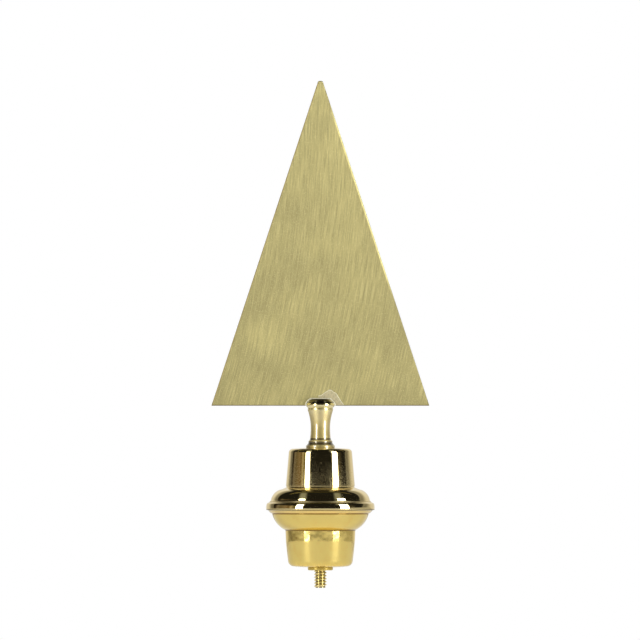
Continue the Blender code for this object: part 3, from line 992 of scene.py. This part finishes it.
class FINIAL_OT_solder(bpy.types.Operator):
    """Run the line of solder round the head and the film beside it."""

    bl_idname = "finial.solder"
    bl_label = "Solder"

    def execute(self, context):
        settings = context.scene.finial
        sizes = settings.solder
        face_y = settings.plate.thickness / 2
        outline = [
            (math.sqrt(max(radius ** 2 - face_y ** 2, 0)), height)
            for radius, height in neck_profile(settings.neck)
            if height > PLATE_LOW.z and radius > face_y
        ]
        outline = [(0.0, NECK_HIGH.z)] + outline
        path = [(-x, z) for x, z in outline[::-1]] + outline[1:]
        metal = solder_metal("solder", tuple(sizes.metal), roughness=0.38, metallic=0.1)
        for name, y in (("solder_front", -face_y), ("solder_back", face_y)):
            self.run_line(context, name, path, y, sizes.bead_diameter / 2, metal, "turned_neck")
        self.run_film(context, sizes, -face_y, metal)
        return {"FINISHED"}

    def run_line(self, context, name, path, y, radius, metal, slot):
        """A line of solder along a path of (x, z) points, thicker here and thinner there."""
        curve = bpy.data.curves.new(name, "CURVE")
        curve.dimensions = "3D"
        curve.bevel_depth = radius
        curve.bevel_resolution = 4
        curve.use_fill_caps = True
        line = curve.splines.new("POLY")
        line.points.add(len(path) - 1)
        for point, (x, z) in zip(line.points, path):
            point.co = (x, y, z, 1.0)
            unevenness = noise.noise(Vector((x, math.copysign(1.0, y), z)) * BEAD_LUMP_SCALE)
            point.radius = 0.85 + 0.5 * unevenness
        drawn = add_object(name, curve)
        context.view_layer.update()
        evaluated = drawn.evaluated_get(context.evaluated_depsgraph_get())
        mesh = bpy.data.meshes.new_from_object(evaluated)
        bpy.data.objects.remove(drawn, do_unlink=True)
        shape = bmesh.new()
        shape.from_mesh(mesh)
        bmesh.ops.remove_doubles(shape, verts=shape.verts, dist=MERGE_DISTANCE)
        bmesh.ops.recalc_face_normals(shape, faces=shape.faces)
        new_piece(name, shape, metal, slot)

    def run_film(self, context, sizes, front, rim_metal):
        """The thin film of solder and flux that ran out to the right of the head, and its rim."""
        outer, inner = (
            [(x, PLATE_LOW.z + rise) for x, rise in line] for line in (FILM_OUTER, FILM_INNER)
        )
        shape = bmesh.new()
        shape.faces.new([shape.verts.new((x, front + TOUCH, z)) for x, z in outer + inner])
        sheet = bmesh.ops.extrude_face_region(shape, geom=shape.faces[:])["geom"]
        raised = [item for item in sheet if isinstance(item, bmesh.types.BMVert)]
        bmesh.ops.translate(shape, verts=raised, vec=(0, -sizes.film_thickness - TOUCH, 0))
        bmesh.ops.triangulate(shape, faces=[face for face in shape.faces if len(face.verts) > 4])
        bmesh.ops.recalc_face_normals(shape, faces=shape.faces)
        film = solder_metal("solder film", tuple(sizes.film), roughness=0.55, metallic=0.35)
        new_piece("solder_film", shape, film, "brushed_plate")
        rim_radius = sizes.rim_diameter / 2
        self.run_line(context, "solder_rim", outer, front, rim_radius, rim_metal, "brushed_plate")


class FINIAL_OT_upper_shell(bpy.types.Operator):
    """Spin the upper shell: cap, cove, shoulder and rolled ring."""

    bl_idname = "finial.upper_shell"
    bl_label = "Upper shell"

    def execute(self, context):
        settings = context.scene.finial
        sizes = settings.upper_shell
        foot_z = UPPER_LOW.z
        chamfer_top_z = foot_z + sizes.chamfer_height
        band_foot_z = chamfer_top_z + sizes.underside_height
        band_top_z = band_foot_z + sizes.band_height
        corner_z = band_top_z + sizes.corner_height
        shoulder_foot_z = corner_z + sizes.slope_height
        shoulder_z = shoulder_foot_z + sizes.shoulder_height
        cap_foot_z = shoulder_z + sizes.cove_height
        cap_rim_z = UPPER_HIGH.z - sizes.cap_crown
        cap_foot_radius = sizes.cap_foot_diameter / 2
        cap_top_radius = sizes.cap_top_diameter / 2
        taper = (cap_foot_radius - cap_top_radius) / (UPPER_HIGH.z - cap_foot_z)
        cap_edge_start = (cap_top_radius - sizes.cap_round, cap_rim_z)
        cap_edge_end = (cap_top_radius + taper * sizes.cap_round, cap_rim_z - sizes.cap_round)
        cove_radius = cap_foot_radius - sizes.cove_step
        cove_top = (cove_radius, cap_foot_z - sizes.cove_wall)
        shoulder_top = (sizes.shoulder_top_diameter / 2, shoulder_z)
        shoulder_foot = (sizes.shoulder_foot_diameter / 2, shoulder_foot_z)
        corner_top = (sizes.corner_diameter / 2, corner_z)
        band_top = (sizes.band_upper_diameter / 2, band_top_z)
        band_foot = (sizes.band_lower_diameter / 2, band_foot_z + sizes.foot_round)
        underside_edge = (sizes.band_lower_diameter / 2 - sizes.foot_round, band_foot_z)
        chamfer_top = (sizes.chamfer_top_diameter / 2, chamfer_top_z)
        chamfer_foot = (sizes.chamfer_foot_diameter / 2, foot_z)
        profile = [(0, UPPER_HIGH.z), (NECK_HIGH.x, UPPER_HIGH.z), cap_edge_start]
        profile += quarter(cap_edge_start, cap_edge_end, 14)
        profile += [(cap_foot_radius, cap_foot_z + sizes.cove_step), (cove_radius, cap_foot_z)]
        profile += [cove_top]
        profile += arc(cove_top, shoulder_top, -sizes.cove_depth, 6)
        profile += arc(shoulder_top, shoulder_foot, sizes.shoulder_rise, 18)
        profile += arc(shoulder_foot, corner_top, -sizes.slope_depth, 8)
        profile += arc(corner_top, band_top, sizes.corner_rise, 8)
        profile += arc(band_top, band_foot, sizes.band_rise, 10)
        profile += quarter(band_foot, underside_edge, 4)
        profile += [chamfer_top]
        profile += arc(chamfer_top, chamfer_foot, sizes.chamfer_rise, 6)
        profile += [(0, foot_z)]
        shape = turned(profile, settings.segments, settings.edge_ease)
        material = turned_metal(
            "polished brass, upper shell",
            tuple(sizes.metal),
            sizes.roughness,
            spacing=0.0005,
            line_strength=0.04,
            wear=0.02,
            stretch=0.8,
            dull=(corner_z, shoulder_foot_z, 0.4),
            haze=(UPPER_HIGH.z, cap_foot_z, 0.16),
            shade_and_stain_lines=(
                # Painted shade under the ring
                (band_foot_z + sizes.foot_round / 2, 0.0004, RING_FOOT_SHADE),
                # Dirt and painted shade at the seam with the lower shell
                (foot_z, 0.00035, SEAM_DIRT_AND_SHADE),
            ),
            under=(chamfer_top_z, tuple(sizes.under_metal)),
        )
        new_piece("upper_shell", shape, material, "polished_upper", "upper_shell")
        return {"FINISHED"}


class FINIAL_OT_lower_shell(bpy.types.Operator):
    """Spin the lower shell: bowl and cup."""

    bl_idname = "finial.lower_shell"
    bl_label = "Lower shell"

    def execute(self, context):
        settings = context.scene.finial
        sizes = settings.lower_shell
        rim_z = UPPER_LOW.z - TOUCH
        cup_top_z = LOWER_HIGH.z - sizes.bowl_height
        underside_z = LOWER_LOW.z + sizes.belly
        rim = (LOWER_HIGH.x, rim_z)
        bowl_foot = (sizes.bowl_foot_diameter / 2, cup_top_z)
        fillet_foot = (sizes.cup_top_diameter / 2, cup_top_z - sizes.fillet_height)
        band_foot = (sizes.cup_band_diameter / 2, fillet_foot[1] - sizes.cup_band_height)
        foot_radius = sizes.cup_foot_diameter / 2
        wall_foot = (foot_radius, underside_z + sizes.cup_round)
        underside_edge = (foot_radius - sizes.cup_round, underside_z)
        fillet_depth = (sizes.bowl_foot_diameter - sizes.cup_top_diameter) / 2 * QUARTER_RISE
        profile = [(0, rim_z), rim]
        profile += arc(rim, bowl_foot, sizes.bowl_rise, 18)
        profile += arc(bowl_foot, fillet_foot, -fillet_depth, 6)
        profile += [band_foot]
        profile += arc(band_foot, wall_foot, sizes.wall_rise, 10)
        profile += quarter(wall_foot, underside_edge, 12)
        profile += arc(underside_edge, (WASHER_HIGH.x, LOWER_LOW.z), sizes.belly_rise, 6)
        profile += [(0, LOWER_LOW.z)]
        shape = turned(profile, settings.segments, settings.edge_ease)
        crease_z = cup_top_z - sizes.fillet_height / 3
        material = turned_metal(
            "polished brass, lower shell",
            tuple(sizes.metal),
            sizes.roughness,
            spacing=0.0005,
            line_strength=0.05,
            wear=0.1,
            stretch=0.45,
            # Dirt and painted shade in the crease between bowl and cup, and at the seam with the
            # upper shell
            shade_and_stain_lines=((crease_z, 0.0005, CREASE_DIRT_AND_SHADE), (LOWER_HIGH.z, 0.0003, SEAM_DIRT_AND_SHADE)),
            dents=0.00008,
        )
        new_piece("lower_shell", shape, material, "polished_lower", "lower_shell")
        return {"FINISHED"}


class FINIAL_OT_stud(bpy.types.Operator):
    """Turn the washer and wind the threaded stud."""

    bl_idname = "finial.stud"
    bl_label = "Washer and stud"

    def execute(self, context):
        settings = context.scene.finial
        sizes = settings.stud
        self.turn_washer(settings, sizes)
        # Painted shade in the roots of the thread, from near the crests down to the roots
        groove_shade = (STUD_HIGH.x - sizes.thread_depth * 0.2, STUD_HIGH.x - sizes.thread_depth)
        material = turned_metal(
            "cut brass thread",
            tuple(sizes.stud_metal),
            0.2,
            spacing=0.0003,
            line_strength=0.3,
            wear=0.15,
            stretch=0.4,
            groove_shade=groove_shade,
        )
        shape = self.wind_thread(sizes)
        new_piece("threaded_stud", shape, material, "cut_thread", "threaded_stud")
        return {"FINISHED"}

    def turn_washer(self, settings, sizes):
        """A round washer with a bore for the stud and a rounded outer edge below."""
        outer = WASHER_HIGH.x
        bore = STUD_HIGH.x + sizes.bore_room
        top_z = LOWER_LOW.z - TOUCH
        round_start = (outer, WASHER_LOW.z + sizes.washer_round)
        profile = [(bore, top_z), (outer, top_z), round_start]
        profile += quarter(round_start, (outer - sizes.washer_round, WASHER_LOW.z), 8)
        profile += [(bore, WASHER_LOW.z)]
        shape = turned(profile, settings.segments // 2, settings.edge_ease, closed=True)
        material = turned_metal(
            "dull brass washer",
            tuple(sizes.washer_metal),
            0.42,
            spacing=0.0004,
            line_strength=0.4,
            wear=0.1,
            stretch=0.9,
        )
        new_piece("washer", shape, material, "dull_washer", "washer")

    def wind_thread(self, sizes):
        """A right-hand thread wound from a zigzag, cut flat at both ends and chamfered below."""
        crest_radius = STUD_HIGH.x
        root_radius = crest_radius - sizes.thread_depth
        flank = (sizes.pitch - sizes.crest - sizes.root) / 2
        top_z, foot_z = STUD_HIGH.z, STUD_LOW.z
        turns = math.ceil((top_z - foot_z) / sizes.pitch) + 3
        start_z = foot_z - 2 * sizes.pitch
        steps = 48
        shape = bmesh.new()
        line = []
        for turn in range(turns):
            base_z = start_z + turn * sizes.pitch
            for radius, rise in (
                (crest_radius - sizes.crest / 4, 0),
                (crest_radius, sizes.crest / 4),
                (crest_radius, sizes.crest * 3 / 4),
                (crest_radius - sizes.crest / 4, sizes.crest),
                (root_radius + sizes.root / 6, sizes.crest + flank),
                (root_radius, sizes.crest + flank + sizes.root / 4),
                (root_radius, sizes.crest + flank + sizes.root * 3 / 4),
                (root_radius + sizes.root / 6, sizes.crest + flank + sizes.root),
            ):
                line.append(shape.verts.new((radius, 0, base_z + rise)))
        last_z = start_z + turns * sizes.pitch
        line.append(shape.verts.new((crest_radius - sizes.crest / 4, 0, last_z)))
        edges = [shape.edges.new(pair) for pair in zip(line, line[1:])]
        bmesh.ops.spin(
            shape,
            geom=line + edges,
            cent=(0, 0, 0),
            axis=(0, 0, 1),
            dvec=(0, 0, sizes.pitch / steps),
            angle=2 * math.pi,
            steps=steps,
        )
        bmesh.ops.remove_doubles(shape, verts=shape.verts, dist=MERGE_DISTANCE)
        for height, side in ((top_z, 1), (foot_z, -1)):
            everything = shape.verts[:] + shape.edges[:] + shape.faces[:]
            bmesh.ops.bisect_plane(
                shape,
                geom=everything,
                plane_co=(0, 0, height),
                plane_no=(0, 0, side),
                clear_outer=True,
            )
        for vert in shape.verts:
            allowed = root_radius + (vert.co.z - foot_z)
            radius = vert.co.xy.length
            if radius > allowed:
                vert.co.xy *= allowed / radius
        rims = [edge for edge in shape.edges if edge.is_boundary]
        bmesh.ops.holes_fill(shape, edges=rims, sides=0)
        bmesh.ops.remove_doubles(shape, verts=shape.verts, dist=MERGE_DISTANCE)
        bmesh.ops.triangulate(shape, faces=[face for face in shape.faces if len(face.verts) > 4])
        bmesh.ops.recalc_face_normals(shape, faces=shape.faces)
        return shape


class FINIAL_OT_stage(bpy.types.Operator):
    """Set up the camera, the pale floor, the lights and the world."""

    bl_idname = "finial.stage"
    bl_label = "Stage"

    def execute(self, context):
        sizes = context.scene.finial.stage
        context.scene.view_settings.view_transform = "Standard"
        self.place_camera(context, sizes)
        self.lay_floor(sizes)
        self.hang_lights(sizes)
        self.paint_world(context, sizes)
        return {"FINISHED"}

    def place_camera(self, context, sizes):
        """Level with the middle of the frame, one pixel to half a millimetre at the axis."""
        data = bpy.data.cameras.new("Camera")
        data.lens = data.sensor_width * sizes.camera_distance / (FRAME_PIXELS * PIXEL_SIZE)
        data.clip_end = 100.0
        camera = add_object("Camera", data)
        camera.location = (FRAME_MIDDLE_X, -sizes.camera_distance, FRAME_MIDDLE_Z)
        camera.rotation_euler = (math.pi / 2, 0, 0)
        context.scene.camera = camera

    def lay_floor(self, sizes):
        """A round white table top, just under the stud, that glows less towards its edge."""
        shape = bmesh.new()
        bmesh.ops.create_circle(shape, cap_ends=True, radius=sizes.floor_radius, segments=96)
        bmesh.ops.translate(shape, verts=shape.verts, vec=(0, 0, STUD_LOW.z - TOUCH))
        mesh = bpy.data.meshes.new("floor")
        shape.to_mesh(mesh)
        shape.free()
        material, tree, shader, place = new_material("pale floor")
        grain = tree.noise(place, FLOOR_GRAIN_SCALE)
        white = tree.blend(grain, (0.80, 0.80, 0.79), (0.84, 0.84, 0.83))
        reach = tree.vector("LENGTH", place)
        near = tree.fit(reach, sizes.floor_radius, sizes.floor_radius * 0.75)
        lit = tree.blend(near, (0.3, 0.29, 0.27), (1.0, 0.99, 0.96))
        looks = {
            "Base Color": white,
            "Roughness": 0.6,
            "Emission Color": lit,
            "Emission Strength": sizes.table_glow,
        }
        tree.feed(shader, looks)
        glow = tree.node("ShaderNodeEmission", {"Color": (1.0, 1.0, 1.0, 1.0), "Strength": 1.0})
        seen = tree.node("ShaderNodeLightPath").outputs["Is Camera Ray"]
        either = {0: seen, 1: shader.outputs[0], 2: glow.outputs[0]}
        mixed = tree.node("ShaderNodeMixShader", either)
        tree.feed(material.node_tree.nodes["Material Output"], {"Surface": mixed.outputs[0]})
        mesh.materials.append(material)
        floor = add_object("floor", mesh)

    def hang_lights(self, sizes):
        """Two tall softboxes in front of the finial, left and right."""
        distance = sizes.box_distance
        for name, azimuth, spread, low, high in SOFTBOXES:
            azimuth, spread, low, high = map(math.radians, (azimuth, spread, low, high))
            width = 2 * distance * math.tan(spread / 2)
            height = distance * (math.tan(high) - math.tan(low))
            data = bpy.data.lights.new(name, "AREA")
            data.shape = "RECTANGLE"
            data.size, data.size_y = width, height
            data.energy = sizes.box_radiance * math.pi * width * height
            light = add_object(name, data)
            light.location = (
                distance * math.sin(azimuth),
                -distance * math.cos(azimuth),
                distance * math.tan((low + high) / 2) + BASE_MIDDLE_Z,
            )
            light.rotation_euler = (math.pi / 2, 0, azimuth)
            light.visible_camera = False

    def paint_world(self, context, sizes):
        """White to the camera; in reflections a dark room in front and a pale wall behind."""
        world = bpy.data.worlds.new("studio")
        world.use_nodes = True
        context.scene.world = world
        tree = Tree(world.node_tree)
        x, y, z = tree.parts(tree.node("ShaderNodeTexCoord").outputs["Generated"])
        room, wall = tuple(sizes.room), tuple(sizes.wall)
        sweep = self.wall_sweep(tree, x, y, z)
        past_white = tree.math("MAXIMUM", tree.math("SUBTRACT", sweep, 1.0), 0.0)
        right = tree.product(tree.fit(x, 0.6, 0.8, 0.0, 0.1), tree.fit(y, -0.62, -0.5))
        ground = tree.fit(tree.math("SUBTRACT", z, right), -0.02, -0.1)
        ceiling = tree.fit(z, *CEILING_STARTS_ENDS)
        around = tree.blend(ceiling, self.room_sides(tree, x, y, room), room)
        around = tree.blend(self.box_haze(tree, x, y, z), around, HAZE_OVER_BOXES)
        around = tree.blend(tree.math("MINIMUM", sweep, 1.0), around, wall)
        around = tree.blend(past_white, around, (1.0, 1.0, 0.98))
        around = tree.blend(ground, around, GROUND)
        seen = tree.node("ShaderNodeLightPath").outputs["Is Camera Ray"]
        shown = tree.blend(seen, around, (1.0, 1.0, 1.0))
        tree.feed(world.node_tree.nodes["Background"], {"Color": shown})

    def room_sides(self, tree, x, y, room):
        """The dark room with the warm things at its sides, by the direction round the finial."""
        azimuth = tree.math("ARCTAN2", x, tree.product(y, -1.0))
        turned_share = tree.math("MULTIPLY_ADD", azimuth, 0.5 / math.pi, 0.5)
        sides = tree.node("ShaderNodeValToRGB", {0: turned_share})
        ramp = sides.color_ramp
        while len(ramp.elements) < len(ROOM_SIDES):
            ramp.elements.new(0.5)
        for element, (angle, tint) in zip(ramp.elements, ROOM_SIDES):
            element.position = angle / 360 + 0.5
            element.color = (*(tint or room), 1.0)
        return sides.outputs["Color"]

    def box_haze(self, tree, x, y, z):
        """Where a grey haze hangs over the softboxes, by the slope that reflects it."""
        facing = tree.vector("NORMALIZE", tree.join(x, tree.math("SUBTRACT", y, 1.0), z))
        half_x, half_y, half_z = tree.parts(facing)
        leaned = tree.math("ABSOLUTE", tree.math("ARCTAN2", half_x, tree.product(half_y, -1.0)))
        return tree.product(
            tree.fit(leaned, 0.26, 0.34),
            tree.fit(leaned, 0.48, 0.40),
            tree.fit(half_z, 0.2, 0.3),
            tree.fit(half_z, 0.88, 0.6),
        )

    def wall_sweep(self, tree, x, y, z):
        """How strongly the lit wall behind the finial shows; past 1 it is blown out to white.

        It starts further round on the left than on the right, and rises in three steps.
        """
        starts = tree.fit(x, -0.3, 0.3, 0.46, 0.12)
        lifted = tree.product(tree.math("MAXIMUM", z, 0.0), tree.fit(x, -0.3, 0.3, 0.25, 0.6))
        behind = tree.math("SUBTRACT", tree.math("SUBTRACT", y, lifted), starts)
        behind = tree.math("DIVIDE", behind, tree.math("SUBTRACT", 1.0, starts))
        above = tree.math("MULTIPLY_ADD", tree.math("ABSOLUTE", x), -1.25, z)
        steps = tree.total(
            tree.fit(behind, -0.03, 0.04, 0.0, 0.2),
            tree.fit(behind, 0.2, 0.7, 0.0, 0.75),
            tree.fit(behind, 0.85, 0.97, 0.0, 0.4),
        )
        return tree.product(steps, tree.fit(above, 0.4, 0.25), tree.fit(z, 0.1, 0.6, 1.0, 1.9))


class FINIAL_PT_panel(bpy.types.Panel):
    """Lists the pieces of the finial and their sizes."""

    bl_idname = "FINIAL_PT_panel"
    bl_label = "Flagpole finial"
    bl_space_type = "VIEW_3D"
    bl_region_type = "UI"
    bl_category = "Finial"

    def draw(self, context):
        settings = context.scene.finial
        column = self.layout.column()
        column.prop(settings, "segments")
        column.prop(settings, "edge_ease")
        for operator, name in PIECES:
            box = self.layout.box()
            box.operator(operator.bl_idname)
            sizes = getattr(settings, name)
            for entry in sizes.bl_rna.properties:
                if entry.identifier not in ("rna_type", "name"):
                    box.prop(sizes, entry.identifier)


PIECES = (
    (FINIAL_OT_stage, "stage"),
    (FINIAL_OT_plate, "plate"),
    (FINIAL_OT_neck, "neck"),
    (FINIAL_OT_solder, "solder"),
    (FINIAL_OT_upper_shell, "upper_shell"),
    (FINIAL_OT_lower_shell, "lower_shell"),
    (FINIAL_OT_stud, "stud"),
)

CLASSES = (
    FinialPlate,
    FinialNeck,
    FinialUpperShell,
    FinialLowerShell,
    FinialStud,
    FinialSolder,
    FinialStage,
    FinialSettings,
    *(operator for operator, _ in PIECES),
    FINIAL_PT_panel,
)


def register():
    for entry in CLASSES:
        bpy.utils.register_class(entry)
    bpy.types.Scene.finial = PointerProperty(type=FinialSettings)


def unregister():
    del bpy.types.Scene.finial
    for entry in reversed(CLASSES):
        bpy.utils.unregister_class(entry)


def main():
    register()
    bpy.ops.finial.stage()
    bpy.ops.finial.plate()
    bpy.ops.finial.neck()
    bpy.ops.finial.solder()
    bpy.ops.finial.upper_shell()
    bpy.ops.finial.lower_shell()
    bpy.ops.finial.stud()


if __name__ == "__main__":
    main()
